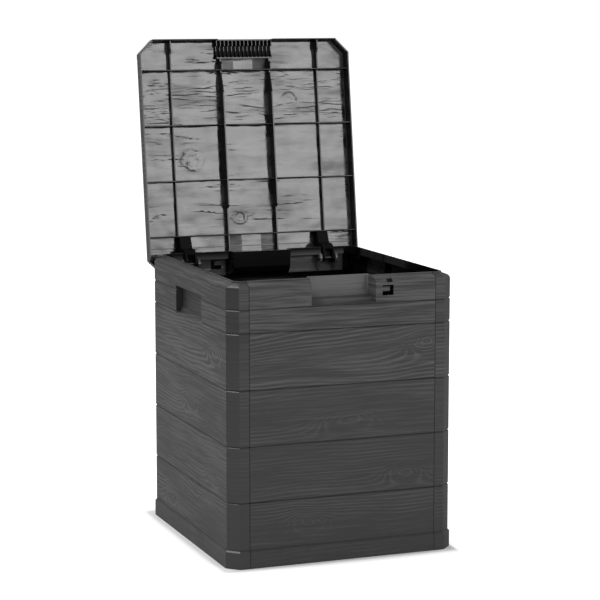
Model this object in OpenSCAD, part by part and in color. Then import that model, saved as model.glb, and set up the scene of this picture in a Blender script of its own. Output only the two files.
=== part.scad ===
// Garden storage box: four wood-look wall panels that slot together at the seams,
// a drop-in floor and a ribbed lid that swings on two hinge pins.
// The box stands on Z = 0 with the origin under the middle of its floor.
// X runs to the right as seen from the front and Y runs to the back.
// The lid is drawn open, leaning back until its rear skirt meets the back panel.

/* [Body] */
// Width over the two side panels
body_w = 437; // [380:1:560]
// Depth over the front and back panels
body_d = 463; // [400:1:600]
// Height of the rim lip above the ground
body_h = 520; // [430:1:640]
// Thickness of every panel wall
wall = 3; // [2.6:0.1:3.6]
// Leg of the flat that cuts each corner
corner = 19; // [14:1:24]
// Width of the side panel's return strip beside the corner flat
return_w = 18.5; // [16:0.5:26]

/* [Seams] */
// Gap left open at the seam between two panels
seam_gap = 0.8; // [0.2:0.1:1.2]
// Thickness of the end panels' tongues
tongue_t = 2.2; // [1.6:0.1:3]
// How far each tongue reaches past the seam
tongue_l = 11.5; // [8:0.5:14]
// Thickness of the channel that holds a tongue
channel_t = 2.2; // [1.6:0.1:3]
// Sliding clearance of a tongue in its channel
slide_gap = 0.2; // [0.15:0.05:0.4]

/* [Planks] */
// Height of the rim's rounded shoulder above the first plank
band_h = 10; // [8:0.5:14]
// Height of the top plank, which holds the recess
plank_top_h = 40; // [34:1:60]
// Height of the second plank
plank_second_h = 42.7; // [30:1:60]
// Height of each full plank below
plank_h = 102.4; // [70:0.2:140]
// Width of the V groove between planks
groove_w = 4.2; // [2:0.2:6]
// Depth of the V groove between planks
groove_d = 1.7; // [0.8:0.1:2]
// Height of the skirt round the foot
skirt_h = 33; // [24:1:50]
// How far the skirt stands out
skirt_out = 3; // [2:0.5:5]

/* [Rim] */
// Distance from the outer face to the inner edge of the rim
rim_in = 18; // [15:0.5:22]
// Radius that rounds the wall over into the shoulder
shoulder_r = 8; // [5:0.5:9]
// Turn of the wall over the shoulder, in degrees
shoulder_turn = 70; // [60:1:76]
// Drop of the rim's inner apron
apron_h = 15; // [10:1:20]
// Thickness of the rim's inner apron
apron_t = 2.4; // [2:0.1:3]

/* [Finger recess] */
// Width of the recess at the face
recess_w = 125; // [90:1:160]
// Depth of the recess
recess_d = 32; // [24:1:40]
// Height of the ramp at the recess's foot
recess_ramp_h = 20; // [10:1:28]
// How much each side of the recess leans in over its depth
recess_draft = 5; // [2:0.5:8]
// Thickness of the recess and pocket shells
shell_t = 2.4; // [2:0.1:3]

/* [Side handles] */
// Length of the handle pocket
handle_w = 152; // [110:1:180]
// Height of the handle pocket
handle_h = 52.5; // [40:0.5:70]
// Depth of the handle pocket
handle_d = 13; // [10:0.5:20]
// Height of the ramp at the pocket's foot
handle_ramp_h = 14.7; // [8:0.1:20]
// How much each side of the pocket leans in over its depth
handle_draft = 3; // [1:0.5:5]
// Pocket's roof above the top plank's lower edge
handle_roof = 7; // [4:0.5:14]
// Distance of the rim gussets from the middle of the side panel
gusset_y = 55; // [30:1:60]
// Thickness of the rim gussets
gusset_t = 2.6; // [2:0.1:3.4]

/* [Padlock eye] */
// Distance from the recess to the padlock window
lock_gap = 12.7; // [8:0.1:20]
// Width of the padlock window
lock_w = 22; // [18:0.5:28]
// Foot of the padlock window above the top plank's lower edge
lock_rise = 13; // [8:0.5:18]

/* [Lid] */
// Outer skin of the closed lid above the rim lip
lid_rise = 24; // [20:0.5:30]
// Depth of the front and side skirts
lid_skirt = 27; // [24:0.5:30]
// How far the lid's sides stand out past the side panels
lid_side_over = 2.5; // [1.5:0.5:6]
// Corner flat of the lid
lid_corner = 28; // [20:1:36]
// Thickness of the lid's skin and skirts
lid_wall = 2.4; // [2:0.1:3]
// Thickness of the ribs under the skin
rib_t = 2.4; // [1.8:0.1:3]
// Distance of the rearmost cross rib from the lid's rear edge
first_cross = 73.8; // [60:0.2:90]
// Spacing of the cross ribs
cross_pitch = 109.4; // [80:0.2:130]
// Spacing of the lengthwise ribs
long_pitch = 104; // [80:1:130]
// Depth of the two outer lengthwise ribs
side_rib_h = 12; // [8:0.5:18]
// Depth of the outer ribs in the front row
front_rib_h = 17; // [12:0.5:20]
// Depth of the outer ribs' gussets at the front skirt
corner_rib_h = 21.5; // [17:0.5:23]
// Depth of the two middle ribs at their ends
middle_rib_h = 17; // [10:0.5:20]
// Depth of the two middle ribs at their belly
belly_h = 29.5; // [20:0.5:34]
// Depth of the middle ribs' gussets in front of the foremost cross rib
grip_gusset_h = 25.5; // [18:0.5:28]
// Gap between the closed lid's cross ribs and the rim lip
rest_gap = 0.3; // [0.3:0.1:1]

/* [Lid grip] */
// Width of the finned grip
grip_w = 116; // [80:1:140]
// Length of the finned grip from the lid's front edge
grip_l = 38; // [30:1:46]
// Depth of the grip's front band and rear lip
grip_h = 17; // [12:0.5:22]
// Depth of the grip's scoop
scoop_h = 10.5; // [8:0.5:16]
// Number of fins between the grip's two cheeks
fin_count = 13; // [8:1:18]
// Thickness of one fin
fin_t = 1.4; // [1.2:0.1:2.6]

/* [Hinge] */
// Distance of the hinge axis from the back panel's outer face
hinge_in = 18.7; // [17:0.1:21]
// Distance of the hinge axis below the rim lip
hinge_drop = 21.9; // [20:0.1:24]
// Opening angle of the lid at its stop
open_angle = 97.9; // [91:0.1:100]
// Distance of each hinge from the middle of the box
hinge_x = 145.5; // [110:0.5:165]
// Gap left between the rear skirt and the back panel at the open stop
stop_gap = 0.3; // [0.3:0.1:1]
// Width of one hinge arm
arm_w = 23; // [18:0.5:30]
// Thickness of the hinge arm's two cheeks
cheek_t = 3; // [2.4:0.1:4]
// Thickness of the web that closes the hinge arm's front
arm_web_t = 2.4; // [1.8:0.1:3]
// Room between a hinge arm and the lug beside it
arm_room = 2.5; // [1:0.1:4]
// Thickness of the lugs that hold the pin
lug_t = 5; // [4:0.5:7]
// Diameter of the hinge pin
pin_d = 8; // [6:0.5:9]
// Radial clearance of the arm on its pin
pin_fit = 0.08; // [0.02:0.01:0.1]

/* [Floor] */
// Height of the ledge that the floor sits on
ledge_h = 10.5; // [8:0.5:20]
// Reach of the ledge from the wall's outer face
ledge_in = 13; // [10:0.5:18]
// Thickness of the ledge
ledge_t = 2.5; // [2:0.1:4]
// Thickness of the floor plate
floor_t = 2.8; // [2:0.1:4]
// Thickness of the floor's ribs
floor_rib_t = 2.4; // [1.8:0.1:3]
// Number of ribs on each side of the middle rib
floor_ribs = 3; // [2:1:5]
// Diameter of the foot pad in the middle
foot_d = 60; // [40:1:90]

/* [Hidden] */

$fn = 48;
eps = 0.01;
hw = body_w / 2;
hd = body_d / 2;
seam_x = hw - corner - return_w;

// Plank joints, from the top down
band_z = body_h - band_h;
top_z = band_z - plank_top_h;
second_z = top_z - plank_second_h;
groove_zs = concat([top_z], [for (z = second_z; z > skirt_h + plank_h / 3; z = z - plank_h) z]);

// Height range of the tongues and channels
joint_top = body_h - apron_h - 2;
joint_foot = ledge_h + floor_t + 3;

// Lid in its closed place
lid_top = body_h + lid_rise;
lid_hw = hw + lid_side_over;
lid_hd = hd;
lid_foot = lid_top - lid_skirt;
skin_z = lid_top - lid_wall;
axis_y = hd - hinge_in;
axis_z = body_h - hinge_drop;
cross_depth = lid_rise - rest_gap;
first_cross_y = lid_hd - first_cross;
cross_ys = [for (y = first_cross_y; y > -lid_hd + grip_l + 10; y = y - cross_pitch) y];
outer_rib_x = hinge_x + arm_w / 2 - rib_t / 2 - 0.3;
inner_rib_x = outer_rib_x - long_pitch;

// The rear skirt is as deep as lets its lower edge meet the back panel at the open stop
rear_foot = axis_z + (hinge_in + stop_gap - (lid_hd - axis_y) * cos(open_angle)) / sin(open_angle);

// Corner of the body outline at an inset r, numbered anticlockwise from the left front
function cut(c, r) = c - r * (2 - sqrt(2));
function outline(a, b, c, r) = [
    [-a + r, -b + r + cut(c, r)], [-a + r + cut(c, r), -b + r],
    [a - r - cut(c, r), -b + r], [a - r, -b + r + cut(c, r)],
    [a - r, b - r - cut(c, r)], [a - r - cut(c, r), b - r],
    [-a + r + cut(c, r), b - r], [-a + r, b - r - cut(c, r)]];
function body_outline(r) = outline(hw, hd, corner, r);

lip_in = rim_in - apron_t;

// Wall section as [inset, height]: foot skirt, V grooves, rounded shoulder, lip and apron
function groove_at(z) = [[0, z - groove_w / 2], [groove_d, z], [0, z + groove_w / 2]];
function ridge_at(z) = [[wall, z + 6], [wall + 1.4, z + 3.5], [wall + 1.4, z - 3.5], [wall, z - 6]];
function outer_section() = concat(
    [[-skirt_out, 0], [-skirt_out, skirt_h - skirt_out], [0, skirt_h]],
    [for (i = [len(groove_zs) - 1 : -1 : 0]) each groove_at(groove_zs[i])],
    [for (a = [0 : shoulder_turn / 7 : shoulder_turn + eps])
        [shoulder_r * (1 - cos(a)), band_z - 4 + shoulder_r * sin(a)]],
    [[lip_in - 0.6, body_h - 2.6], [lip_in - 0.6, body_h - 0.6], [lip_in, body_h]]);
function inner_section(ridges) = concat(
    [[rim_in, body_h], [rim_in, body_h - apron_h], [lip_in, body_h - apron_h],
     [lip_in, body_h - 5], [wall + 3.2, band_z + 1], [wall, band_z - 5]],
    [for (z = groove_zs) each (ridges ? ridge_at(z) : [])],
    [[wall, skirt_h], [wall - skirt_out, skirt_h - skirt_out - 2], [wall - skirt_out, 0]]);
function wall_section(ridges) = concat(outer_section(), inner_section(ridges));

// A length of wall from outline corner i to corner j, mitred at both ends
module wall_length(i, j, ridges) {
    a = body_outline(0)[i];
    b = body_outline(0)[j];
    run = norm(b - a);
    intersection() {
        translate([a.x, a.y, 0]) rotate(atan2(b.y - a.y, b.x - a.x)) translate([-20, 0, 0])
            along_x(run + 40) polygon(wall_section(ridges));
        mitres(i, j);
    }
}

// Space between the mitre planes at outline corners i and j
module mitres(i, j) {
    translate([0, 0, -1]) linear_extrude(body_h + 2)
        polygon([body_outline(-8)[i], body_outline(-8)[j], body_outline(40)[j], body_outline(40)[i]]);
}

// Extrude a section drawn as [Y, Z] along X
module along_x(length) {
    rotate([90, 0, 90]) linear_extrude(length) children();
}

// Box given by its two corners
module span(low, high) {
    translate(low) cube(high - low);
}

// Front wall between two X values, mirrored to the back by the caller
module front_strip(x0, x1, ridges) {
    translate([x0, -hd, 0]) along_x(x1 - x0) polygon(wall_section(ridges));
}

// Pocket whose foot curves up into its back. The plan narrows with depth and grow thickens it
ramp_turn = 72;
module pocket(width, depth, foot_z, ramp_h, roof_z, draft, grow, from) {
    deep = depth + grow;
    side = width / 2 + grow;
    narrow = draft / depth;
    ramp = [for (a = [0 : ramp_turn / 6 : ramp_turn + eps])
        [deep * sin(a) / sin(ramp_turn), foot_z - grow + ramp_h * (1 - cos(a)) / (1 - cos(ramp_turn))]];
    intersection() {
        translate([-width, 0, 0]) along_x(2 * width)
            polygon(concat([[-8, foot_z - grow]], ramp, [[deep, roof_z], [-8, roof_z]]));
        translate([0, 0, foot_z - 40]) linear_extrude(roof_z - foot_z + 80)
            polygon([[-side + narrow * from, from], [side - narrow * from, from],
                     [side - narrow * deep, deep], [-side + narrow * deep, deep]]);
    }
}

module recess(grow, from, roof) {
    translate([0, -hd, 0])
        pocket(recess_w, recess_d, top_z + 1.5, recess_ramp_h, roof, recess_draft, grow, from);
}

// Shell of the recess, trimmed to the slope of the rim's shoulder
module recess_shell() {
    difference() {
        recess(shell_t, wall - 0.5, body_h);
        translate([-recess_w, -hd, 0]) along_x(2 * recess_w)
            polygon([[0, body_h + 1], [0, band_z - 1], [wall + 0.5, band_z + 0.6], [wall + 3, band_z + 3.2],
                     [lip_in - 0.6, body_h - 2.6], [lip_in - 0.6, body_h + 1]]);
    }
}

module handle_pocket(grow, from) {
    roof_z = top_z + handle_roof;
    translate([-hw, 0, 0]) rotate(-90)
        pocket(handle_w, handle_d, roof_z - handle_h, handle_ramp_h, roof_z + grow, handle_draft, grow, from);
}

// Padlock eye: a window crossed by a bar, with a tongue standing in from its left side
module lock_window() {
    x0 = recess_w / 2 + lock_gap;
    x1 = x0 + lock_w;
    z0 = top_z + lock_rise;
    for (b = [[x0, z0, x1, z0 + 8], [x1 - 7.6, z0 + 7.9, x1, z0 + 19],
              [x0, z0 + 16.3, x1 - 7.5, z0 + 19], [x0 + 8.3, z0 + 23.5, x1 - 2, band_z + 4.4]])
        span([b[0], -hd - 1, b[1]], [b[2], -hd + wall + 5, b[3]]);
}

// Tongues that slide into the side panels' channels, one at each end
module tongues() {
    for (s = [0, 1]) mirror([s, 0, 0]) {
        span([seam_x - 13, -hd + wall - 0.3, joint_foot],
             [seam_x - seam_gap / 2, -hd + wall + slide_gap + tongue_t, joint_top]);
        span([seam_x - 13, -hd + wall + slide_gap, joint_foot],
             [seam_x + tongue_l, -hd + wall + slide_gap + tongue_t, joint_top]);
    }
}

// Ledge inside a wall that carries the floor plate
module front_ledge(x0, x1) {
    span([x0, -hd + wall - skirt_out - 0.2, ledge_h - ledge_t], [x1, -hd + ledge_in, ledge_h]);
}

module end_panel() {
    end_x = seam_x - seam_gap / 2;
    difference() {
        union() {
            front_strip(-end_x, end_x, true);
            tongues();
            front_ledge(-end_x, end_x);
            recess_shell();
        }
        recess(0, -8, body_h + 1);
        lock_window();
    }
}

// Two lugs per hinge stand on the inside of the back panel and carry the pin
slot_w = arm_w + 2 * arm_room;
module hinge_lugs() {
    for (s = [-1, 1]) for (e = [-1, 1])
        translate([s * hinge_x + e * (slot_w + lug_t) / 2 - lug_t / 2, 0, 0]) difference() {
            along_x(lug_t) union() {
                translate([axis_y, axis_z]) circle(d = pin_d + 12);
                polygon([[axis_y, axis_z - pin_d / 2 - 6], [hd - wall + 0.5, axis_z - 32],
                         [hd - wall + 0.5, band_z + 1], [axis_y, band_z + 1]]);
            }
            translate([-1, axis_y, axis_z]) rotate([0, 90, 0]) cylinder(d = pin_d + 0.1, h = lug_t + 2);
        }
}

module hinge_slots() {
    for (s = [-1, 1]) {
        span([s * hinge_x - slot_w / 2, axis_y - 12, axis_z - 12],
             [s * hinge_x + slot_w / 2, hd - wall, body_h + 1]);
        span([s * hinge_x - slot_w / 2, axis_y, band_z + 2],
             [s * hinge_x + slot_w / 2, hd + 1, body_h + 1]);
    }
}

module front_panel() {
    color([0.27, 0.27, 0.28]) end_panel();
}

module back_panel() {
    color([0.27, 0.27, 0.28]) union() {
        difference() {
            rotate(180) end_panel();
            hinge_slots();
        }
        hinge_lugs();
    }
}

// Channel behind the return strip, open towards the middle of the front
module channel() {
    web_x = seam_x + tongue_l + 0.8;
    flange_y = -hd + wall + 2 * slide_gap + tongue_t;
    span([-web_x - channel_t, -hd + wall - 0.3, joint_foot], [-web_x, flange_y + channel_t, joint_top]);
    span([-web_x - channel_t, flange_y, joint_foot], [-seam_x - 2, flange_y + channel_t, joint_top]);
}

module side_half() {
    intersection() {
        front_strip(-hw + corner - 6, -seam_x, false);
        mitres(1, 2);
    }
    channel();
    front_ledge(-hw + corner + 2, -seam_x);
}

// Upright gussets between the handle pocket and the rim
module rim_gussets() {
    foot_z = top_z + handle_roof;
    for (s = [-1, 1]) translate([0, s * gusset_y + gusset_t / 2, 0]) rotate([90, 0, 0])
        linear_extrude(gusset_t) translate([-hw, 0]) polygon([
            [wall - 0.4, foot_z], [lip_in + 0.4, foot_z], [lip_in + 0.4, body_h - 4],
            [wall + 3.2, band_z + 2], [wall - 0.4, band_z - 4]]);
}

module left_side() {
    difference() {
        union() {
            wall_length(7, 0, true);
            wall_length(0, 1, false);
            wall_length(6, 7, false);
            side_half();
            mirror([0, 1, 0]) side_half();
            span([-hw + wall - skirt_out - 0.2, -hd + corner, ledge_h - ledge_t],
                 [-hw + ledge_in, hd - corner, ledge_h]);
            handle_pocket(shell_t, wall - 0.5);
            rim_gussets();
        }
        handle_pocket(0, -8);
    }
}

module left_side_panel() {
    color([0.3, 0.3, 0.31]) left_side();
}

module right_side_panel() {
    color([0.3, 0.3, 0.31]) rotate(180) left_side();
}

// Floor plate with a grid of ribs that reach the ground inside the ledges
module floor_panel() {
    rib_x = hw - ledge_in - 1.5;
    rib_y = hd - ledge_in - 1.5;
    half = floor_rib_t / 2;
    pitch_x = (rib_x - half) / floor_ribs;
    pitch_y = (rib_y - half) / floor_ribs;
    color([0.2, 0.2, 0.21]) union() {
        translate([0, 0, ledge_h]) linear_extrude(floor_t)
            polygon(body_outline(wall - skirt_out + 0.6));
        for (i = [-floor_ribs : floor_ribs]) {
            span([i * pitch_x - half, -rib_y, 0], [i * pitch_x + half, rib_y, ledge_h + 1]);
            span([-rib_x, i * pitch_y - half, 0], [rib_x, i * pitch_y + half, ledge_h + 1]);
        }
        cylinder(d = foot_d, h = ledge_h + 1);
    }
}

// Solid of the lid down to its skirt, with an eased top edge. inset shrinks it all round
module lid_block(inset, foot, head) {
    hull() {
        translate([0, 0, foot]) linear_extrude(head - 6 - foot)
            polygon(outline(lid_hw, lid_hd, lid_corner, inset));
        translate([0, 0, head - 1.8]) linear_extrude(eps)
            polygon(outline(lid_hw, lid_hd, lid_corner, inset + 1.2));
        translate([0, 0, head - eps]) linear_extrude(eps)
            polygon(outline(lid_hw, lid_hd, lid_corner, inset + 4.5));
    }
}

// Plate along Y at x, drawn as [Y, Z]
module y_plate(x, t) {
    translate([x - t / 2, 0, 0]) along_x(t) children();
}

// Cross rib with a round tip
module cross_rib(y) {
    tip = lid_top - cross_depth + rib_t / 2;
    translate([-lid_hw, y, 0]) along_x(2 * lid_hw) {
        translate([0, tip]) circle(d = rib_t);
        translate([-rib_t / 2, tip]) square([rib_t, skin_z + 1 - tip]);
    }
}

// Middle rib: shallow at the hinge end, a deep belly, and a gusset between cross rib and grip
module belly_rib(x) {
    front_y = -lid_hd + grip_l;
    last_cross_y = cross_ys[len(cross_ys) - 1];
    shallow = lid_top - middle_rib_h;
    deep = lid_top - belly_h;
    gusset = lid_top - grip_gusset_h;
    y_plate(x, rib_t) polygon([
        [lid_hd - 1, skin_z + 1], [lid_hd - 1, shallow], [first_cross_y - 52, shallow],
        [first_cross_y - 60, deep], [front_y + 78, deep], [front_y + 28, shallow],
        [last_cross_y, shallow], [last_cross_y, gusset], [front_y + 11, gusset],
        [front_y + 6, lid_top - grip_h], [front_y - 1, lid_top - grip_h], [front_y - 1, skin_z + 1]]);
}

// Outer rib: shallow, deeper in the front row, with a gusset at the front skirt
module side_rib(x) {
    last_cross_y = cross_ys[len(cross_ys) - 1];
    front_row = lid_top - front_rib_h;
    y_plate(x, rib_t) polygon([
        [lid_hd, skin_z + 1], [lid_hd, lid_top - side_rib_h], [last_cross_y, lid_top - side_rib_h],
        [last_cross_y, front_row], [-lid_hd + 28, front_row], [-lid_hd + 18, lid_top - corner_rib_h],
        [-lid_hd, lid_top - corner_rib_h], [-lid_hd, skin_z + 1]]);
}

// Finned grip: cheeks, fins with a scooped edge and a closing wall behind them
module grip() {
    front_y = -lid_hd + 1;
    back_y = -lid_hd + grip_l;
    band = lid_top - grip_h;
    scoop = lid_top - scoop_h;
    pitch = grip_w / (fin_count + 1);
    section = [[front_y, skin_z + 1], [front_y, band], [front_y + 12, band], [front_y + 12.5, scoop],
               [front_y + 22, scoop], [back_y - 10, scoop - 0.8], [back_y - 6, scoop - 2.4],
               [back_y - 3.4, band], [back_y, band], [back_y, skin_z + 1]];
    for (i = [0 : fin_count + 1])
        y_plate(-grip_w / 2 + i * pitch, fin_t) polygon(section);
    span([-grip_w / 2 - fin_t / 2, back_y - 2.2, band], [grip_w / 2 + fin_t / 2, back_y, skin_z + 1]);
    span([-grip_w / 2 - fin_t / 2, front_y, skin_z - 5], [grip_w / 2 + fin_t / 2, back_y, skin_z + 1]);
}

// Hinge arm: two cheeks that reach over the rim to the pin, with a web along their front
knuckle_r = pin_d / 2 + 6;
throat_r = 24.6;
arm_front = [[-19, -knuckle_r], [-28, 1], [-31, 16], [first_cross_y - axis_y, skin_z - axis_z - 20]];
web_lean = [[1, 0.3], [1, 0.15], [0.9, 0.8], [0, 1]];
module arm_side() {
    difference() {
        union() {
            circle(r = knuckle_r);
            polygon([[0, -knuckle_r], each arm_front, [first_cross_y - axis_y, skin_z - axis_z + 1],
                     [lid_hd - axis_y - 1, skin_z - axis_z + 1],
                     [lid_hd - axis_y - 1, throat_r + 5], [0, throat_r - 1], [-12, 0]]);
        }
        difference() {
            circle(r = throat_r);
            circle(r = knuckle_r);
            polygon([[0, 0], [-60, 50], [-60, -60], [0, -60]]);
        }
    }
}

module hinge_arm(x) {
    difference() {
        union() {
            for (e = [-1, 1])
                translate([0, axis_y, axis_z]) y_plate(x + e * (arm_w - cheek_t) / 2, cheek_t) arm_side();
            translate([0, axis_y, axis_z]) y_plate(x, arm_w - 1)
                polygon(concat(arm_front, [for (i = [3 : -1 : 0]) arm_front[i] + arm_web_t * web_lean[i]]));
        }
        translate([x - arm_w, axis_y, axis_z]) rotate([0, 90, 0])
            cylinder(d = pin_d + 2 * pin_fit, h = 2 * arm_w);
    }
}

module lid_closed() {
    difference() {
        union() {
            difference() {
                lid_block(0, lid_foot, lid_top);
                lid_block(lid_wall, lid_foot - 20, skin_z);
            }
            intersection() {
                union() {
                    for (y = cross_ys) cross_rib(y);
                    span([-lid_hw, first_cross_y + 22, skin_z - 4], [lid_hw, first_cross_y + 24, skin_z + 1]);
                    for (s = [-1, 1]) {
                        side_rib(s * outer_rib_x);
                        belly_rib(s * inner_rib_x);
                    }
                    grip();
                }
                lid_block(1, lid_foot, lid_top - 1);
            }
        }
        // Front skirt lowered over the grip, and the rear corners kept off the back panel
        span([-grip_w / 2, -lid_hd - 1, lid_foot - 1], [grip_w / 2, -lid_hd + lid_wall, lid_top - grip_h]);
        span([-lid_hw - 1, hd - 29, lid_foot - 1], [lid_hw + 1, lid_hd + 1, rear_foot]);
        for (x = [-lid_hw - 1, lid_hw - lid_corner])
            span([x, lid_hd - lid_corner, lid_foot - 1], [x + lid_corner + 1, hd + 1, rear_foot + 1.5]);
        for (y = cross_ys)
            translate([-lid_hw - 1, y, lid_top]) along_x(2 * lid_hw + 2)
                polygon([[-2.2, 0.1], [0, -1.3], [2.2, 0.1]]);
    }
    hinge_arm(-hinge_x);
    hinge_arm(hinge_x);
}

module lid() {
    color([0.12, 0.12, 0.125])
        translate([0, axis_y, axis_z]) rotate([-open_angle, 0, 0]) translate([0, -axis_y, -axis_z])
            lid_closed();
}

// Headed pin pushed in from the middle of the box
module hinge_pin(s) {
    reach = slot_w / 2 + lug_t;
    color([0.1, 0.1, 0.1]) translate([s * hinge_x, axis_y, axis_z]) rotate([0, s * 90, 0]) {
        translate([0, 0, -reach]) cylinder(d = pin_d, h = 2 * reach + 1);
        translate([0, 0, reach + 1]) cylinder(d1 = pin_d, d2 = pin_d - 2, h = 1.5);
        translate([0, 0, -reach - 2.5]) cylinder(d = pin_d + 5, h = 2.5);
    }
}

module left_hinge_pin() {
    hinge_pin(-1);
}

module right_hinge_pin() {
    hinge_pin(1);
}

front_panel();
back_panel();
left_side_panel();
right_side_panel();
floor_panel();
lid();
left_hinge_pin();
right_hinge_pin();
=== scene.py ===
import math

import bmesh
import bpy
from mathutils import Matrix, Vector
from mathutils.bvhtree import BVHTree


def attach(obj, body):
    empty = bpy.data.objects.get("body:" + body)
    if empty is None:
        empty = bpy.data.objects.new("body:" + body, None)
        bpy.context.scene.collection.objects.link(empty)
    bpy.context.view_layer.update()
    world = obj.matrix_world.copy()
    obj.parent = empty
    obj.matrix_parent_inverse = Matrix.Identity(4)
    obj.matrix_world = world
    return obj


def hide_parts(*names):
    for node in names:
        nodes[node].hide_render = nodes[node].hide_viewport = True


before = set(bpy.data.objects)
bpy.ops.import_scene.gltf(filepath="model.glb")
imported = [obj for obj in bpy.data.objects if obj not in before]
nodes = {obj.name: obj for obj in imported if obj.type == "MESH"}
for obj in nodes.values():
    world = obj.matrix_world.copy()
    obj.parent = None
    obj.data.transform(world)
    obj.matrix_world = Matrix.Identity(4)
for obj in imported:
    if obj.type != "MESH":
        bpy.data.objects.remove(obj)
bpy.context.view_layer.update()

# Fixed sizes of the box, in metres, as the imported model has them
box = {
    "halfWidth": 0.2185,
    "halfDepth": 0.2315,
    "seamX": 0.1808,
    # The top of the skirt, and of each plank above it
    "planks": [0.033, 0.120, 0.2225, 0.3249, 0.4273, 0.470, 0.510],
    # The foot of the band that holds the finger recess
    "bandFoot": 0.470,
    "axisY": 0.2128,
    "axisZ": 0.4981,
    "openAngle": math.radians(97.9),
}


class Wire:
    # A node's socket that can stand in a Python expression
    def __init__(self, maker, socket):
        self.maker = maker
        self.socket = socket

    def maths(self, operation, *values):
        return self.maker.node("ShaderNodeMath", {"operation": operation}, dict(enumerate(values)))

    def __add__(self, other):
        return self.maths("ADD", self, other)

    def __radd__(self, other):
        return self.maths("ADD", other, self)

    def __sub__(self, other):
        return self.maths("SUBTRACT", self, other)

    def __rsub__(self, other):
        return self.maths("SUBTRACT", other, self)

    def __mul__(self, other):
        return self.maths("MULTIPLY", self, other)

    def __rmul__(self, other):
        return self.maths("MULTIPLY", other, self)

    def __truediv__(self, other):
        return self.maths("DIVIDE", self, other)

    def __rtruediv__(self, other):
        return self.maths("DIVIDE", other, self)

    def __pow__(self, other):
        return self.maths("POWER", self, other)

    def __gt__(self, other):
        return self.maths("GREATER_THAN", self, other)

    def __lt__(self, other):
        return self.maths("LESS_THAN", self, other)

    def __abs__(self):
        return self.maths("ABSOLUTE", self)

    def least(self, other):
        return self.maths("MINIMUM", self, other)

    def most(self, other):
        return self.maths("MAXIMUM", self, other)

    def wave(self):
        return self.maths("COSINE", self)

    def root(self):
        return self.maths("SQRT", self)

    def sign(self):
        return self.maths("SIGN", self)


class Maker:
    # Adds nodes to a tree and links or sets their sockets
    def __init__(self, tree):
        self.tree = tree

    def node(self, kind, settings=None, inputs=None, output=0):
        made = self.tree.nodes.new(kind)
        for key, value in (settings or {}).items():
            setattr(made, key, value)
        for key, value in (inputs or {}).items():
            self.feed(self.socketOf(made.inputs, key), value)
        return Wire(self, self.socketOf(made.outputs, output))

    def socketOf(self, sockets, key):
        if isinstance(key, int):
            return sockets[key]
        return next((s for s in sockets if s.identifier == key), None) or sockets[key]

    def feed(self, socket, value):
        if isinstance(value, Wire):
            self.tree.links.new(value.socket, socket)
        elif isinstance(value, (tuple, list)) and len(value) != len(socket.default_value):
            socket.default_value = tuple(value) + (1.0,)
        else:
            socket.default_value = value

    def split(self, vector):
        made = self.tree.nodes.new("ShaderNodeSeparateXYZ")
        self.feed(made.inputs[0], vector)
        return [Wire(self, made.outputs[i]) for i in range(3)]

    def join(self, x, y, z):
        return self.node("ShaderNodeCombineXYZ", inputs={0: x, 1: y, 2: z})

    def noise(self, vector, detail=2.0, roughness=0.5):
        return self.node("ShaderNodeTexNoise", inputs={
            "Vector": vector, "Scale": 1.0, "Detail": detail, "Roughness": roughness})

    # Noise over two coordinates, each made finer by its number in steps
    def pattern(self, first, second, steps, seed, **settings):
        return self.noise(self.join(first * steps[0], second * steps[1], seed), **settings)

    # Noise that is equally fine along all three coordinates
    def cloud(self, place, steps, **settings):
        return self.noise(self.join(*(axis * steps for axis in place)), **settings)

    # Level that changes where value passes each edge
    def stair(self, value, edges, levels):
        height = levels[0]
        for edge, low, high in zip(edges, levels, levels[1:]):
            height = (value > edge) * (high - low) + height
        return height

    # Smooth step of value from low to high
    def ease(self, value, low, high, start=0.0, end=1.0):
        return self.node("ShaderNodeMapRange", {"interpolation_type": "SMOOTHSTEP"}, {
            "Value": value, "From Min": low, "From Max": high, "To Min": start, "To Max": end})


class Finish(Maker):
    # One material and the nodes that feed its shader
    def __init__(self, name, **constants):
        self.material = bpy.data.materials.new(name)
        self.material.use_nodes = True
        Maker.__init__(self, self.material.node_tree)
        self.shader = next(n for n in self.tree.nodes if n.type == "BSDF_PRINCIPLED")
        for key, value in constants.items():
            self.shader.inputs[key.replace("_", " ")].default_value = value

    def show(self, **values):
        for key, value in values.items():
            name = {"baseColor": "Base Color", "emissionColor": "Emission Color"}.get(key, key.capitalize())
            self.feed(self.shader.inputs[name], value)

    def place(self):
        return self.node("ShaderNodeTexCoord", output="Object")

    def mark(self, name):
        return self.node("ShaderNodeAttribute", {"attribute_name": name}, output="Fac")

    def blend(self, factor, first, second):
        return self.node("ShaderNodeMix", {"data_type": "RGBA"}, {
            "Factor_Float": factor, "A_Color": first, "B_Color": second}, "Result_Color")

    def bump(self, height, distance):
        return self.node("ShaderNodeBump", inputs={"Height": height, "Distance": distance})


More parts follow.
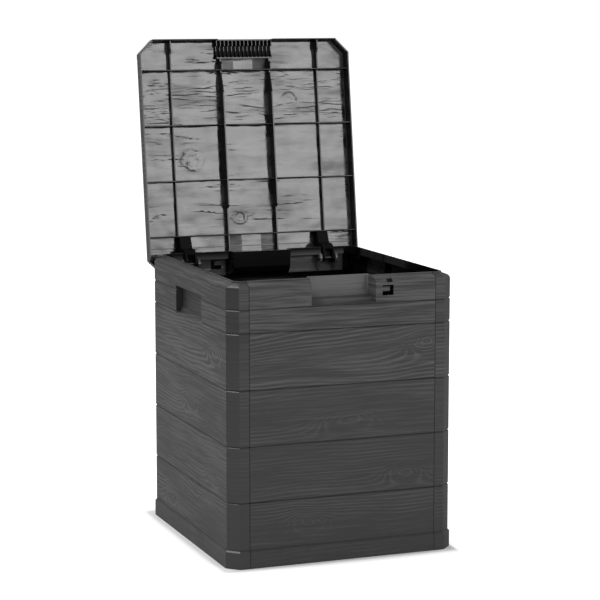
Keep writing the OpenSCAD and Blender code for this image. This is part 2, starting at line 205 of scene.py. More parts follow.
class Form(Maker):
    # One Geometry Nodes tree with named inputs
    def __init__(self, name, sizes):
        Maker.__init__(self, bpy.data.node_groups.new(name, "GeometryNodeTree"))
        self.tree.is_modifier = True
        self.tree.interface.new_socket("Geometry", in_out="OUTPUT", socket_type="NodeSocketGeometry")
        for key, value in sizes.items():
            kind = "NodeSocketInt" if isinstance(value, int) else "NodeSocketFloat"
            self.tree.interface.new_socket(key, in_out="INPUT", socket_type=kind).default_value = value
        self.inlet = self.tree.nodes.new("NodeGroupInput")

    def given(self, name):
        return Wire(self, self.inlet.outputs[name])

    def close(self, geometry, material):
        real = self.node("GeometryNodeRealizeInstances", inputs={0: geometry})
        painted = self.node("GeometryNodeSetMaterial", inputs={"Geometry": real, "Material": material})
        outlet = self.tree.nodes.new("NodeGroupOutput")
        self.feed(outlet.inputs[0], painted)

    # Run the tree once and keep the result as a plain mesh
    def grow(self, pieceName, sizes):
        piece = bpy.data.objects.new(pieceName, bpy.data.meshes.new(pieceName))
        bpy.context.collection.objects.link(piece)
        modifier = piece.modifiers.new("form", "NODES")
        modifier.node_group = self.tree
        for socket in self.tree.interface.items_tree:
            if socket.in_out == "INPUT" and socket.name in sizes:
                modifier[socket.identifier] = sizes[socket.name]
        return settle(piece)


# Turn a piece's modifiers into its mesh
def settle(piece):
    graph = bpy.context.evaluated_depsgraph_get()
    mesh = bpy.data.meshes.new_from_object(piece.evaluated_get(graph))
    piece.modifiers.clear()
    piece.data = mesh
    return piece


# Fineness of the patterns in the wood grain, along and across the planks, per metre
grainSteps = {
    "sway": (8.0, 11.0),
    "drift": (2.6, 6.0),
    "swell": (5.0, 26.0),
    "patch": (3.0, 20.0),
    "streak": (9.0, 230.0),
    "fibre": (24.0, 620.0),
}
# How the grain sways, bends round a knot and comes and goes
grainLook = {
    "alongSway": 1.6,
    "knotStretch": 2.2,
    "knotSwayAlong": 0.9,
    "knotSwayAcross": 0.7,
    "patch": (0.40, 0.66),
    "knotShow": 0.55,
    "fineRough": 0.6,
}


# Moulded wood grain: lines that run along and bend round each knot (along, across, size), and fibre
def woodRelief(maker, along, across, seed, knots, grain):
    look, steps = grainLook, grainSteps
    sway = maker.pattern(along, across, steps["sway"], seed) - 0.5
    drift = maker.noise(maker.join(
        along * steps["drift"][0] + seed, across * steps["drift"][1], seed), detail=1.0)
    swell = maker.noise(maker.join(
        along * steps["swell"][0], across * steps["swell"][1] + seed, 4.0))
    pitch = grain["linePitch"]
    across = across + sway * grain["sway"]
    along = along + sway * (grain["sway"] * look["alongSway"])
    phase = across / pitch + drift * grain["drift"] + swell * grain["swell"]
    knotPull = 0.0
    for knotAlong, knotAcross, size in knots:
        centre = round(knotAcross / pitch) * pitch
        stepAlong = (along - knotAlong) / (size * look["knotStretch"]) + sway * look["knotSwayAlong"]
        stepAcross = (across - centre) / size + sway * look["knotSwayAcross"]
        reach = stepAlong * stepAlong + stepAcross * stepAcross
        pull = 1.0 / (1.0 + reach * reach)
        ring = reach.root() * (grain["rings"] * stepAcross.sign()) + centre / pitch
        phase = phase * (1.0 - pull) + ring * pull
        knotPull = pull.most(knotPull)
    lines = ((phase * (2.0 * math.pi)).wave() * 0.5 + 0.5) ** grain["sharpness"]
    # The lines show in patches, and round the knots
    patch = maker.noise(maker.join(along * steps["patch"][0] + 9.0, across * steps["patch"][1], seed))
    patch = maker.ease(patch, *look["patch"])
    lines = lines * patch.most(knotPull * look["knotShow"])
    streak = maker.pattern(along, across, steps["streak"], seed + 3.0, roughness=look["fineRough"])
    fibre = maker.pattern(along, across, steps["fibre"], seed, roughness=look["fineRough"])
    return lines, streak, fibre


# Rounded copies of the mouldings
mouldedLook = {
    "panelEdge": 0.0006,
    "lidEdge": 0.0002,
    "segments": 2,
    "sharp": math.radians(30),
    "flat": math.radians(0.5),
    "weld": 1e-6,
    "probe": 0.0004,
}


# Copy a CAD node with its edges rounded. A face is marked outside where nothing of the piece covers it
def mould(name, pieceName, bodyName, material, outward, edge, reshape=None):
    work = bmesh.new()
    work.from_mesh(nodes[name].data)
    bmesh.ops.remove_doubles(work, verts=work.verts, dist=mouldedLook["weld"])
    if reshape:
        reshape(work)
    bmesh.ops.dissolve_limit(work, angle_limit=mouldedLook["flat"], verts=work.verts, edges=work.edges)
    mesh = bpy.data.meshes.new(pieceName)
    work.to_mesh(mesh)
    cover = BVHTree.FromBMesh(work)
    work.free()
    piece = bpy.data.objects.new(pieceName, mesh)
    bpy.context.collection.objects.link(piece)
    bevel = piece.modifiers.new("edge", "BEVEL")
    bevel.width = edge
    bevel.segments = mouldedLook["segments"]
    bevel.limit_method = "ANGLE"
    bevel.angle_limit = mouldedLook["sharp"]
    bevel.use_clamp_overlap = True
    settle(piece)
    marks = piece.data.attributes.new("outside", "FLOAT", "FACE")
    flags = []
    for face in piece.data.polygons:
        start = face.center + face.normal * mouldedLook["probe"]
        flags.append(1.0 if cover.ray_cast(start, outward)[0] is None else 0.0)
    marks.data.foreach_set("value", flags)
    piece.data.materials.clear()
    piece.data.materials.append(material)
    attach(piece, bodyName)
    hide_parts(name)
    print("moulded", pieceName, len(piece.data.polygons), "faces")


# The four wall panels: the way each faces, its seed and its knots (along, up, size)
panels = {
    "front": {
        "piece": "front_panel_moulding", "node": "front_panel", "outward": (0.0, -1.0, 0.0), "seed": 1.0,
        "knots": [(0.162, 0.382, 0.015), (0.010, 0.262, 0.024), (0.120, 0.154, 0.018),
                  (-0.064, 0.079, 0.020)]},
    "back": {
        "piece": "back_panel_moulding", "node": "back_panel", "outward": (0.0, 1.0, 0.0), "seed": 17.0,
        "knots": [(-0.120, 0.380, 0.018), (0.060, 0.275, 0.022), (-0.050, 0.165, 0.020),
                  (0.130, 0.085, 0.016)]},
    "left": {
        "piece": "left_side_moulding", "node": "left_side_panel", "outward": (-1.0, 0.0, 0.0), "seed": 31.0,
        "knots": [(-0.155, 0.385, 0.018), (-0.020, 0.273, 0.022), (-0.150, 0.157, 0.018),
                  (0.172, 0.186, 0.015), (0.112, 0.068, 0.018), (-0.100, 0.104, 0.013)]},
    "right": {
        "piece": "right_side_moulding", "node": "right_side_panel", "outward": (1.0, 0.0, 0.0), "seed": 47.0,
        "knots": [(0.090, 0.378, 0.020), (-0.130, 0.268, 0.018), (0.040, 0.170, 0.022),
                  (-0.060, 0.074, 0.016)]},
}
panelLook = {
    "outer": (0.024, 0.0243, 0.0250),
    "outerLight": (0.072, 0.0725, 0.0741),
    "inner": (0.003, 0.003, 0.0031),
    # Painted light on the insides below the rim and on the back of the finger recess
    "innerSideLit": (0.125, 0.125, 0.129),
    "innerWallLit": (0.020, 0.020, 0.0206),
    "recess": (0.120, 0.1208, 0.1234),
    "roughOuter": 0.62,
    "roughCorner": 0.36,
    "roughInner": 0.18,
    "lineShine": 0.10,
    # Relief in metres
    "lineDepth": 0.0010,
    "streakDepth": 0.0012,
    "fibreDepth": 0.00012,
    "innerWave": 0.0026,
    # Share of each pattern in the colour
    "lineTone": 0.62,
    "streakTone": 1.9,
    "fibreTone": 0.35,
    "cloudTone": 0.3,
    "leastTone": 0.1,
    # How much calmer the corner flats and return strips are than the planks
    "cornerCalm": 0.75,
    "stripCalm": 0.5,
    # How dark each shaded place gets
    "cornerShade": 0.5,
    "footLineShade": 0.75,
    "footDirtAndShade": 0.8,
    "grooveDark": 0.5,
    "recessDark": 0.16,
    "rimDark": 0.22,
    "pocketDark": (0.25, 0.62),
    # Least share of the painted light on the recess's back, and share of the painted light on the inside's
    # left
    "recessLitLeast": 0.12,
    "litLeft": 0.55,
    "waveSteps": (7.0, 42.0),
    "cloudSteps": (5.0, 9.0),
    "plankSeed": 2.37,
}
# Where a panel's finish changes, as depths below its face, distances from the middle of the box or heights
panelPlaces = {
    "cornerReach": 0.0185,
    "stripDepth": 0.004,
    "wallDepth": 0.007,
    "footLine": (0.0322, 0.0352),
    "grooveHalf": 0.0009,
    "seamHalf": 0.0011,
    "recessHalf": 0.0625,
    "recessMouth": 0.2295,
    "recessBack": 0.2045,
    "recessLit": (0.482, 0.500),
    "rimShade": (0.360, 0.430),
    "pocketHalf": 0.0775,
    "pocketFoot": 0.4275,
    "pocketEnd": 0.0760,
    "pocketTaper": 0.2308,
    "pocketEndHalf": 0.0007,
    "pocketLip": 0.0010,
    "pocketDepths": (0.003, 0.0125),
    "pocketHeights": (0.432, 0.470),
    "litBeside": 0.066,
    "litEnd": (0.503, 0.519),
    "wallFront": -0.060,
    "wallRear": 0.172,
    "gusset": 0.055,
    "gussetHalf": 0.004,
}
panelGrain = {"linePitch": 0.0072, "drift": 6.0, "swell": 1.6, "rings": 3.2, "sharpness": 2.4, "sway": 0.010}
# Strength of the grain's lines and streaks on the skirt and each plank, from the foot up
plankLines = [0.12, 0.45, 0.32, 0.45, 1.3, 0.60, 0.60, 0.30]
plankStreaks = [0.20, 0.28, 0.28, 0.40, 0.70, 1.2, 1.4, 0.9]
# Painted light and shade on each plank, lighter or darker by how the light falls on it, and how strongly the
# grain shows in it, on the long and the short sides
plankShading = {"front": [0.02, -0.04, 0.03, 0.11, 0.14, 0.32, 0.62, 0.60],
              "side": [0.06, 0.16, 0.18, 0.18, 0.12, -0.02, -0.28, -0.28]}
grainGain = {"front": 1.9, "side": 4.0, "strip": 1.2}
# The grain of the front's fourth plank climbs to the right in its upper part
grainClimb = {"rise": 0.075, "from": 0.345, "full": 0.385}


# The finger recess is smoother than the planks; painted shade darkens it, and painted light brightens its
# back, less towards its foot
def shadeRecess(finish, x, y, z, outside, colour):
    look, places = panelLook, panelPlaces
    recess = (abs(x) < places["recessHalf"]) * (abs(y) < places["recessMouth"])
    recess = recess * (z > box["bandFoot"]) * outside
    colour = finish.blend(recess * look["recessDark"], colour, look["inner"])
    recessLit = recess * (abs(y) < places["recessBack"]) * finish.ease(
        z, *places["recessLit"], look["recessLitLeast"], 1.0)
    return finish.blend(recessLit, colour, look["recess"])


# Painted shade: a side darkens towards the rim and in its handle pocket, whose end walls are painted black
def shadePocket(finish, x, y, z, outside, colour):
    look, places = panelLook, panelPlaces
    colour = finish.blend(finish.ease(z, *places["rimShade"], 0.0, look["rimDark"]), colour, look["inner"])
    deep = box["halfWidth"] - abs(x)
    pocket = outside * (abs(y) < places["pocketHalf"]) * (z > places["pocketFoot"])
    beyond = abs(y) + deep * places["pocketTaper"] - places["pocketEnd"]
    endWall = (abs(beyond) < places["pocketEndHalf"]) * (deep > places["pocketLip"])
    gloom = finish.ease(deep, *places["pocketDepths"]) * finish.ease(
        z, *places["pocketHeights"], *look["pocketDark"])
    return finish.blend(pocket * gloom.most(endWall), colour, look["inner"])


# The insides are black but for painted light on the part below the rim
def insideColour(finish, face, x, y, z):
    look, places = panelLook, panelPlaces
    belowRim = z > box["bandFoot"]
    if face == "front":
        # Beside the recess painted light makes them lighter, more so to the right
        lit = (abs(x) > places["litBeside"]) * belowRim * finish.ease(z, *places["litEnd"], 1.0, 0.0)
        lit = lit * ((x > 0.0) * (1.0 - look["litLeft"]) + look["litLeft"])
        return finish.blend(lit, look["inner"], look["innerSideLit"])
    # On the sides painted light makes them lighter between the gussets
    between = belowRim * (y > places["wallFront"]) * (y < places["wallRear"])
    between = between * (abs(abs(y) - places["gusset"]) > places["gussetHalf"])
    return finish.blend(between, look["inner"], look["innerWallLit"])


def makePanelFinish(side):
    finish = Finish(side + "Grain")
    look, places = panelLook, panelPlaces
    face = "front" if side in ("front", "back") else "side"
    x, y, z = finish.split(finish.place())
    along = x if face == "front" else y
    outside = finish.mark("outside")
    plank = finish.stair(z, box["planks"], range(len(box["planks"]) + 1))
    seed = plank * look["plankSeed"] + panels[side]["seed"]
    across = z
    if side == "front":
        climbing = finish.ease(z, grainClimb["from"], grainClimb["full"]) * (z < box["planks"][4])
        across = z - x * climbing * grainClimb["rise"]
    lines, streak, fibre = woodRelief(finish, along, across, seed, panels[side]["knots"], panelGrain)
    lines = lines * finish.stair(z, box["planks"], plankLines)
    streak = (streak - 0.5) * finish.stair(z, box["planks"], plankStreaks)
    fibre = fibre - 0.5
    # The corner flats are smoother and almost without grain
    corner = 0.0
    if face == "side":
        corner = (abs(x) > box["halfWidth"] - places["cornerReach"]) * (
            abs(y) > box["halfDepth"] - places["cornerReach"])
    share = outside * (1.0 - corner * look["cornerCalm"])
    # The insides are wavy, but not the backs of the recess and the pocket, which lie deeper
    wave = finish.pattern(along, z, look["waveSteps"], seed)
    shallow = (box["halfDepth"] - abs(y) < places["wallDepth"]).most(
        box["halfWidth"] - abs(x) < places["wallDepth"])
    height = lines * look["lineDepth"] + streak * look["streakDepth"] + fibre * look["fibreDepth"]
    height = height * share + wave * (1.0 - outside) * shallow * look["innerWave"]
    cloud = finish.pattern(along, z, look["cloudSteps"], seed) - 0.5
    grain = lines * look["lineTone"] + streak * look["streakTone"] + fibre * look["fibreTone"]
    grain = grain + cloud * look["cloudTone"]
    gain = grainGain[face]
    shading = finish.stair(z, box["planks"], plankShading[face])
    if face == "side":
        # The return strips beside the seams look as the front does, with the front's painted light and shade,
        # only smoother
        strip = (abs(y) > box["halfDepth"] - places["stripDepth"]) * (1.0 - corner)
        gain = gain + strip * (grainGain["strip"] - gain)
        shading = shading + strip * (finish.stair(z, box["planks"], plankShading["front"]) - shading)
        height = height * (1.0 - strip * look["stripCalm"])
    tone = ((grain * gain + shading) * share).most(0.0).least(1.0) + look["leastTone"]
    # A dark line of painted shade under the lowest plank, where it meets the skirt
    footLine = (z > places["footLine"][0]) * (z < places["footLine"][1]) * outside
    # Painted shade darkens the foot line and the corner flats
    tone = tone * (1.0 - footLine * look["footLineShade"]) * (1.0 - corner * look["cornerShade"])
    colour = finish.blend(tone, look["outer"], look["outerLight"])
    # Dirt and shade in the seams and in the bottom of the grooves between planks
    groove = (abs(abs(x) - box["seamX"]) < places["seamHalf"]) + footLine * look["footDirtAndShade"]
    for joint in box["planks"][1:6]:
        groove = (abs(z - joint) < places["grooveHalf"]) + groove
    colour = finish.blend(groove * outside * look["grooveDark"], colour, look["inner"])
    shade = shadeRecess if face == "front" else shadePocket
    colour = shade(finish, x, y, z, outside, colour)
    rough = look["roughOuter"] - lines * share * look["lineShine"]
    rough = rough - corner * (x < 0.0) * (look["roughOuter"] - look["roughCorner"])
    finish.show(
        baseColor=finish.blend(outside, insideColour(finish, face, x, y, z), colour),
        roughness=look["roughInner"] + outside * (rough - look["roughInner"]),
        normal=finish.bump(height, 1.0))
    return finish.material


# The lid, with places and sizes in its closed pose
lidLook = {
    "inner": (0.0035, 0.0035, 0.0037),
    "outer": (0.024, 0.0243, 0.0250),
    "outerLight": (0.062, 0.0624, 0.0638),
    "roughInner": 0.20,
    "roughOuter": 0.6,
    "roughCloud": 0.06,
    "roughRim": 0.95,
    # Height of the relief, and the share of each pattern in it and in the colour
    "topDepth": 0.0005,
    "relief": {"streak": 0.5, "fibre": 0.2},
    "tone": {"line": 0.55, "streak": 0.45, "fibre": 0.15, "from": 0.1, "full": 0.8},
    "cloudSteps": 6.0,
    "boardSeed": (3.1, 5.0),
    "crossRibs": [-0.1705, -0.0611, 0.0483, 0.1577],
    "crossTip": 0.5203,
    "tipHalf": 0.0013,
    "tipBelow": 0.0001,
    "tipFlat": 0.0002,
}
shadeBlackLook = {
    "dark": (0.0016, 0.0016, 0.0017),
    "light": (0.00288, 0.00288, 0.00306),
    "shine": 0.12,
    "rough": 0.45,
    "roughCloud": 0.2,
    "cloudSteps": 30.0,
}
# The parts of the lid that are painted a matt black as shade, and the edge of its rim, matt and painted
# black. A turn is the least part of a face's normal along its main axis
lidPlaces = {
    "gripHalf": 0.0590,
    "gripFront": -0.190,
    "gripRoof": 0.5350,
    "gripTurn": 0.5,
    "armX": 0.1455,
    "armHalf": 0.0125,
    "armFront": 0.160,
    "armTop": 0.5400,
    "rimFront": -0.2290,
    "rimCorner": 0.4360,
    "rimTop": 0.5200,
    "ribReach": 0.2160,
    "ribHalf": 0.0016,
    "ribTurn": 0.9,
    "edgeTop": 0.5183,
    "edgeFront": -0.2285,
    "edgeCorner": 0.4300,
}
lidGrain = {"linePitch": 0.009, "drift": 5.0, "swell": 1.4, "rings": 2.8, "sharpness": 2.2, "sway": 0.010}
lidTopKnots = [(-0.115, 0.006, 0.022), (0.060, 0.100, 0.024), (0.095, -0.112, 0.018), (-0.080, -0.150, 0.016)]


# Turn about the hinge, by the open angle to close the open lid and by its reverse to open it
def hingeTurn(angle):
    centre = Matrix.Translation((0.0, box["axisY"], box["axisZ"]))
    return centre @ Matrix.Rotation(angle, 4, "X") @ centre.inverted()


# The cross ribs get a narrow flat along their round tips
def flattenTips(work):
    closing, opening = hingeTurn(box["openAngle"]), hingeTurn(-box["openAngle"])
    level = lidLook["crossTip"]
    for vert in work.verts:
        place = closing @ vert.co
        inRow = any(abs(place.y - rib) < lidLook["tipHalf"] for rib in lidLook["crossRibs"])
        if inRow and level - lidLook["tipBelow"] < place.z < level + lidLook["tipFlat"]:
            place.z = level
            vert.co = opening @ place


# Whether a face of the closed lid is on the front rim, a hinge arm, a rib's side or in the grip's hollows
def isShadedBlack(place, normal):
    at = lidPlaces
    across, high = abs(place.x), place.z
    front = (place.y < at["rimFront"] or across + abs(place.y) > at["rimCorner"]) and high < at["rimTop"]
    arm = abs(across - at["armX"]) < at["armHalf"] and place.y > at["armFront"] and high < at["armTop"]
    onRib = any(abs(place.y - middle) < at["ribHalf"] for middle in lidLook["crossRibs"])
    rib = onRib and across < at["ribReach"] and abs(normal.y) > at["ribTurn"]
    inGrip = across < at["gripHalf"] and place.y < at["gripFront"]
    grip = inGrip and (high > at["gripRoof"] or abs(normal.x) > at["gripTurn"])
    return front or arm or rib or grip


# The faces there that show inside the lid take a darker, matt black finish as painted shade
def paintShadeBlack(piece, material):
    closing = hingeTurn(box["openAngle"])
    piece.data.materials.append(material)
    outside = piece.data.attributes["outside"].data
    for face in piece.data.polygons:
        black = isShadedBlack(closing @ face.center, closing.to_3x3() @ face.normal)
        if black and outside[face.index].value < 0.5:
            face.material_index = 1


# Object coordinates of the open lid turned back to its closed place
def closedPlace(finish):
    return finish.split(finish.node("ShaderNodeVectorRotate", {"rotation_type": "X_AXIS"}, {
        "Vector": finish.place(), "Center": (0.0, box["axisY"], box["axisZ"]), "Angle": box["openAngle"]}))


def makeShadeBlackFinish():
    look = shadeBlackLook
    finish = Finish("lidHollowPlastic", Specular_IOR_Level=look["shine"])
    cloud = finish.cloud(finish.split(finish.place()), look["cloudSteps"])
    finish.show(
        baseColor=finish.blend(cloud, look["dark"], look["light"]),
        roughness=look["rough"] + cloud * look["roughCloud"])
    return finish.material


def makeLidFinish():
    look, at = lidLook, lidPlaces
    finish = Finish("lidPlastic")
    x, y, z = closedPlace(finish)
    outside = finish.mark("outside")
    # Each board between two cross ribs has its own grain
    board = finish.stair(y, look["crossRibs"], range(5))
    seed = board * look["boardSeed"][0] + look["boardSeed"][1]
    lines, streak, fibre = woodRelief(finish, x, y, seed, lidTopKnots, lidGrain)
    height = (lines + streak * look["relief"]["streak"] + fibre * look["relief"]["fibre"]) * outside
    tone = lines * look["tone"]["line"] + streak * look["tone"]["streak"] + fibre * look["tone"]["fibre"]
    tone = finish.ease(tone, look["tone"]["from"], look["tone"]["full"])
    cloud = finish.cloud((x, y, z), look["cloudSteps"])
    # The rim's edge is matt along the front and the cut corners, and painted black there as shade
    cutCorner = (abs(x) + abs(y) > at["edgeCorner"]) * (y < 0.0)
    rim = (z < at["edgeTop"]) * (y < at["edgeFront"]).most(cutCorner)
    rough = look["roughInner"] + cloud * look["roughCloud"]
    rough = rough + outside * (look["roughOuter"] - look["roughInner"])
    colour = finish.blend(tone, look["outer"], look["outerLight"])
    finish.show(
        baseColor=finish.blend(outside * (1.0 - rim), look["inner"], colour),
        roughness=rough.most(rim * look["roughRim"]),
        normal=finish.bump(height, look["topDepth"]))
    return finish.material


# The wavy underside of the lid's skin, with sizes in metres
skinLook = {
    "colour": (0.0030, 0.0030, 0.0031),
    "clouded": (0.062, 0.0624, 0.0640),
    "tint": (0.42, 0.60),
    "bending": 1.6,
    "rough": 0.045,
    "roughDull": 0.16,
    "roughCloud": 0.08,
    "roughPads": 0.25,
    "dull": (0.42, 0.64),
    "pads": (0.0205, 0.0470),
    "bend": 0.010,
    "lineSharpness": 13.0,
    "lineDepth": 0.00022,
    # The band of fine lines: its front and rear edge, how patchy it is, and the share of lines elsewhere
    "bandFront": (-0.170, -0.135),
    "bandRear": (-0.078, -0.064),
    "bandLoose": (0.40, 0.53),
    "elsewhere": 0.05,
    "darkFrom": 0.2035,
    "thick": 0.0008,
}
# Fineness of the skin's patterns, across and along the lid, with a seed
skinSteps = {
    "band": (9.0, 30.0, 6.0),
    "bend": (20.0, 20.0, 9.0),
    "fine": (11.0, 85.0, 3.0),
    "cloud": (11.0, 14.0, 1.0),
    "tint": (8.0, 30.0, 12.0),
    "flow": (9.0, 60.0, 7.0),
    "soft": (22.0, 26.0, 1.0),
    "long": (6.0, 48.0, 2.0),
    "meander": (5.0, 42.0, 8.0),
    "creases": (9.0, 15.0, 4.0),
    "wobble": (60.0, 60.0, 5.0),
}
# The sizes that the skin's tree takes in
skinSizes = {
    "Width": 0.4396,
    "Length": 0.4606,
    "Columns": 132,
    "Rows": 300,
    "Soft wave": 0.0014,
    "Long wave": 0.0006,
    "Crease": 0.0003,
    "Level": 0.54155,
    "Corner sum": 0.4228,
}
# Each ring on the skin: place across and along, radius, breadth, height
skinRings = [(-0.115, 0.006, 0.0185, 0.0070, 0.0006), (-0.112, 0.008, 0.0, 0.0190, 0.0008),
             (-0.022, 0.123, 0.0130, 0.0034, 0.0006),
             (0.095, -0.112, 0.0, 0.0060, 0.0005), (0.095, -0.112, 0.0125, 0.0034, 0.0004)]
ringLook = {"flatten": 1.15, "wobble": 0.9, "height": 0.7, "heightWobble": 1.1}
creaseLook = {"sharpness": 30.0, "patch": (0.46, 0.66)}


# Noise from the table of the skin's patterns
def skinPattern(maker, name, x, y, **settings):
    return maker.pattern(x, y, skinSteps[name], skinSteps[name][2], **settings)


# Share of the strong fine lines, which fill a band in front of the middle
def lineBand(maker, x, y):
    band = maker.ease(y, *skinLook["bandFront"]) * (1.0 - maker.ease(y, *skinLook["bandRear"]))
    loose = maker.ease(skinPattern(maker, "band", x, y), *skinLook["bandLoose"])
    return band * loose + loose * skinLook["elsewhere"]


def makeSkinFinish():
    look = skinLook
    finish = Finish("lidSkinGloss", IOR=look["bending"])
    x, y = closedPlace(finish)[:2]
    bend = skinPattern(finish, "bend", x, y) * look["bend"]
    fine = skinPattern(finish, "fine", x, y + bend, detail=1.5)
    height = (1.0 - abs(fine - 0.5) * look["lineSharpness"]).most(0.0) * lineBand(finish, x, y)
    cloud = skinPattern(finish, "cloud", x, y, detail=3.0)
    tint = skinPattern(finish, "tint", x, y, detail=3.0, roughness=0.55)
    # Duller streaks where the melt flowed
    flow = skinPattern(finish, "flow", x, y, detail=3.0, roughness=0.6)
    dull = finish.ease(flow * 0.5 + cloud * 0.5, *look["dull"])
    # Two dull pads at each end, between the middle ribs
    pads = (abs(x) > look["pads"][0]) * (abs(x) < look["pads"][1])
    pads = pads * ((y < lidLook["crossRibs"][0]) + (y > lidLook["crossRibs"][-1]))
    rough = look["rough"] + dull * look["roughDull"] + cloud * look["roughCloud"] + pads * look["roughPads"]
    finish.show(
        baseColor=finish.blend(finish.ease(tint, *look["tint"]), look["colour"], look["clouded"]),
        roughness=rough,
        normal=finish.bump(height, look["lineDepth"]))
    return finish.material


# A grid with soft and long waves, creases and rings, and its corners cut off
def makeSkinForm(material):
    form = Form("wavySkin", skinSizes)
    grid = form.node("GeometryNodeMeshGrid", inputs={
        "Size X": form.given("Width"), "Size Y": form.given("Length"),
        "Vertices X": form.given("Columns"), "Vertices Y": form.given("Rows")})
    x, y = form.split(form.node("GeometryNodeInputPosition"))[:2]
    soft = skinPattern(form, "soft", x, y, detail=1.0)
    long = skinPattern(form, "long", x, y, detail=1.0)
    meander = skinPattern(form, "meander", x, y)
    creases = form.ease(skinPattern(form, "creases", x, y, detail=1.0), *creaseLook["patch"])
    crease = (1.0 - abs(meander - 0.5) * creaseLook["sharpness"]).most(0.0) * creases
    depth = soft * form.given("Soft wave") + long * form.given("Long wave") + crease * form.given("Crease")
    wobble = skinPattern(form, "wobble", x, y) - 0.5
    for ringX, ringY, radius, breadth, height in skinRings:
        stepX, stepY = x - ringX, (y - ringY) * ringLook["flatten"]
        reach = (stepX * stepX + stepY * stepY).root()
        away = (reach - radius + wobble * (radius * ringLook["wobble"])) / breadth
        rise = height * (ringLook["height"] + wobble * ringLook["heightWobble"])
        depth = depth + rise / (1.0 + away * away * away * away)
    moved = form.node("GeometryNodeSetPosition", inputs={
        "Geometry": grid, "Offset": form.join(0.0, 0.0, form.given("Level") - depth)})
    trimmed = form.node("GeometryNodeDeleteGeometry", {"domain": "FACE"}, {
        "Geometry": moved, "Selection": abs(x) + abs(y) > form.given("Corner sum")})
    form.close(trimmed, material)
    return form


def makeSkin():
    skin = makeSkinForm(makeSkinFinish()).grow("lid_skin_underside", skinSizes)
    # The rear strip lies in the dark behind the back panel, and takes the painted-shade black
    skin.data.materials.append(bpy.data.materials["lidHollowPlastic"])
    for face in skin.data.polygons:
        if face.center.y > skinLook["darkFrom"]:
            face.material_index = len(skin.data.materials) - 1
    # The back of the slab lies inside the lid's skin
    slab = skin.modifiers.new("slab", "SOLIDIFY")
    slab.thickness = skinLook["thick"]
    slab.offset = 1.0
    settle(skin)
    skin.data.transform(hingeTurn(-box["openAngle"]))
    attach(skin, "lid")
    print("lid skin", len(skin.data.polygons), "faces")


# The floor plate and the pins, which keep their CAD shapes
plainLook = {
    "floor": {"colour": (0.010, 0.010, 0.0105), "rough": 0.42},
    "pin": {"colour": (0.006, 0.006, 0.006), "rough": 0.3},
    "lighter": 1.5,
    "roughCloud": 0.12,
    "speckDepth": 0.00008,
    "cloudSteps": 14.0,
    "speckSteps": 900.0,
}


def makePlainFinish(name, colour, rough):
    finish = Finish(name)
    place = finish.split(finish.place())
    cloud = finish.cloud(place, plainLook["cloudSteps"], detail=3.0)
    speck = finish.cloud(place, plainLook["speckSteps"], detail=1.0)
    lighter = tuple(part * plainLook["lighter"] for part in colour)
    finish.show(
        baseColor=finish.blend(cloud, colour, lighter),
        roughness=rough + cloud * plainLook["roughCloud"],
        normal=finish.bump(speck, plainLook["speckDepth"]))
    return finish.material


# Put a finish on a CAD node that is shown as it is
def dress(name, material):
    slots = nodes[name].material_slots
    for slot in slots:
        slot.material = material
    if not slots:
        nodes[name].data.materials.append(material)


for side, panel in panels.items():
    mould(panel["node"], panel["piece"], "box",
          makePanelFinish(side), Vector(panel["outward"]), mouldedLook["panelEdge"])
lidUp = Vector((0.0, math.sin(box["openAngle"]), math.cos(box["openAngle"])))
mould("lid", "lid_moulding", "lid",
      makeLidFinish(), lidUp, mouldedLook["lidEdge"], flattenTips)
paintShadeBlack(bpy.data.objects["lid_moulding"], makeShadeBlackFinish())
makeSkin()
dress("floor_panel", makePlainFinish("floorPlastic", **plainLook["floor"]))
pinFinish = makePlainFinish("pinPlastic", **plainLook["pin"])
dress("left_hinge_pin", pinFinish)
dress("right_hinge_pin", pinFinish)
print("finishes done")

# Camera, lights and floor
studio = {
    "cameraPlace": (-1.4079, -3.6701, 1.0150),
    "cameraTurn": (81.788, 0.0, -21.046),
    "lens": 125.37,
    "sensor": 36.0,
    "clip": (0.1, 200.0),
    "roomLight": 0.47,
    "floorHalf": 30.0,
    "floorColour": (0.9, 0.9, 0.9),
    "floorRough": 0.8,
    "floorLift": 0.78,
    # How far each part of the painted shadow reaches, and how dark it is
    "shadow": {0.022: 0.40, 0.055: 0.42, 0.10: 0.20},
    # The painted shadow reaches less far on the right
    "rightNarrowing": 2.5,
    "softPeak": 1.08,
    "softMiddle": 0.60,
    "softFall": 1.3,
    # Place, aim, size and power
    "softboxes": {
        "lidSoftbox": ((1.07, -2.705, 1.323), (0.0, 0.25, 0.72), 1.25, 26.0),
        "rightSoftbox": ((3.0, 0.8, 1.6), (0.2, 0.0, 0.3), 1.4, 8.0),
        "backSoftbox": ((-0.8, 3.0, 3.2), (0.0, 0.2, 0.5), 1.8, 40.0),
        "cornerSoftbox": ((-1.5, -0.1, 2.9), (-0.2, -0.2, 0.45), 0.8, 38.0),
        "floorCard": ((-0.95, 2.1, 0.02), (-0.95, 2.1, 1.0), 2.2, 4.0),
    },
}
white, black = (1.0, 1.0, 1.0), (0.0, 0.0, 0.0)


def makeCamera():
    data = bpy.data.cameras.new("studioCamera")
    data.lens = studio["lens"]
    data.sensor_width = studio["sensor"]
    data.clip_start, data.clip_end = studio["clip"]
    camera = bpy.data.objects.new("studioCamera", data)
    camera.location = studio["cameraPlace"]
    camera.rotation_euler = [math.radians(a) for a in studio["cameraTurn"]]
    bpy.context.collection.objects.link(camera)
    bpy.context.scene.camera = camera


# The paper behind the box is white, and the room that lights it is dimmer
def makeRoom():
    world = bpy.data.worlds.new("studioWorld")
    world.use_nodes = True
    maker = Maker(world.node_tree)
    background = next(n for n in world.node_tree.nodes if n.type == "BACKGROUND")
    seen = maker.node("ShaderNodeLightPath", output="Is Camera Ray")
    maker.feed(background.inputs["Strength"], seen * (1.0 - studio["roomLight"]) + studio["roomLight"])
    maker.feed(background.inputs["Color"], white)
    bpy.context.scene.world = world


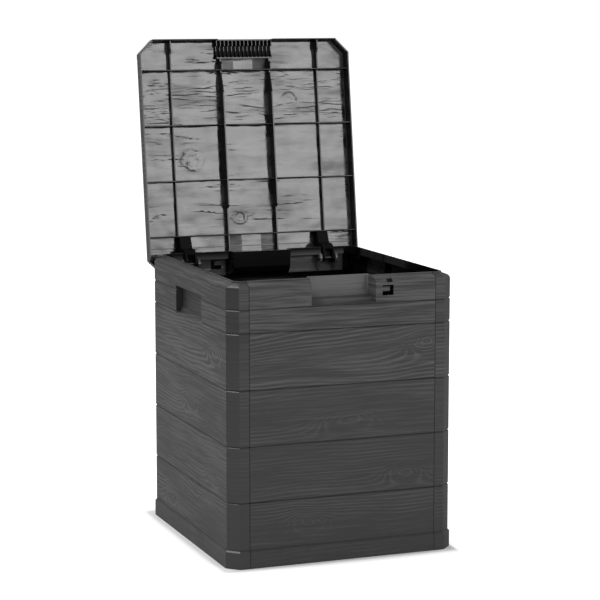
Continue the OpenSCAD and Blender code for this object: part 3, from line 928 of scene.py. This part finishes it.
def makeSoftbox(name, place, target, size, power):
    data = bpy.data.lights.new(name, "AREA")
    data.shape = "SQUARE"
    data.size = size
    data.energy = power
    lamp = bpy.data.objects.new(name, data)
    lamp.location = place
    lamp.rotation_euler = (Vector(target) - Vector(place)).to_track_quat("-Z", "Y").to_euler()
    lamp.visible_camera = False
    # Brighter in the middle than at its edges
    data.use_nodes = True
    maker = Maker(data.node_tree)
    glow = next(n for n in data.node_tree.nodes if n.type == "EMISSION")
    x, y = maker.split(maker.node("ShaderNodeNewGeometry", output="Parametric"))[:2]
    across, up = x - 0.5, y - studio["softMiddle"]
    maker.feed(glow.inputs["Strength"], (
        studio["softPeak"] - (across * across + up * up) * studio["softFall"]).most(0.0))
    bpy.context.collection.objects.link(lamp)


# White paper with a painted shadow close round the foot of the box
def makeFloor():
    mesh = bpy.data.meshes.new("studioFloor")
    half = studio["floorHalf"]
    corners = [(-half, -half, 0), (half, -half, 0), (half, half, 0), (-half, half, 0)]
    mesh.from_pydata(corners, [], [(0, 1, 2, 3)])
    floor = bpy.data.objects.new("studioFloor", mesh)
    finish = Finish("studioFloorPaint", Emission_Strength=1.0)
    x, y = finish.split(finish.place())[:2]
    narrowing = (x > 0.0) * studio["rightNarrowing"] + 1.0
    stepX = (abs(x) - box["halfWidth"]).most(0.0) * narrowing
    stepY = (abs(y) - box["halfDepth"]).most(0.0)
    away = (stepX * stepX + stepY * stepY).root()
    lift = studio["floorLift"]
    for reach, depth in studio["shadow"].items():
        lift = lift - (1.0 - finish.ease(away, 0.0, reach)) * depth
    seen = finish.node("ShaderNodeLightPath", output="Is Camera Ray")
    finish.show(
        baseColor=studio["floorColour"],
        roughness=studio["floorRough"],
        emissionColor=finish.blend(seen * lift.most(0.0), black, white))
    mesh.materials.append(finish.material)
    bpy.context.collection.objects.link(floor)


makeCamera()
makeRoom()
for name, (place, target, size, power) in studio["softboxes"].items():
    makeSoftbox(name, place, target, size, power)
makeFloor()
bpy.context.scene.view_settings.view_transform = "Standard"
print("studio done")
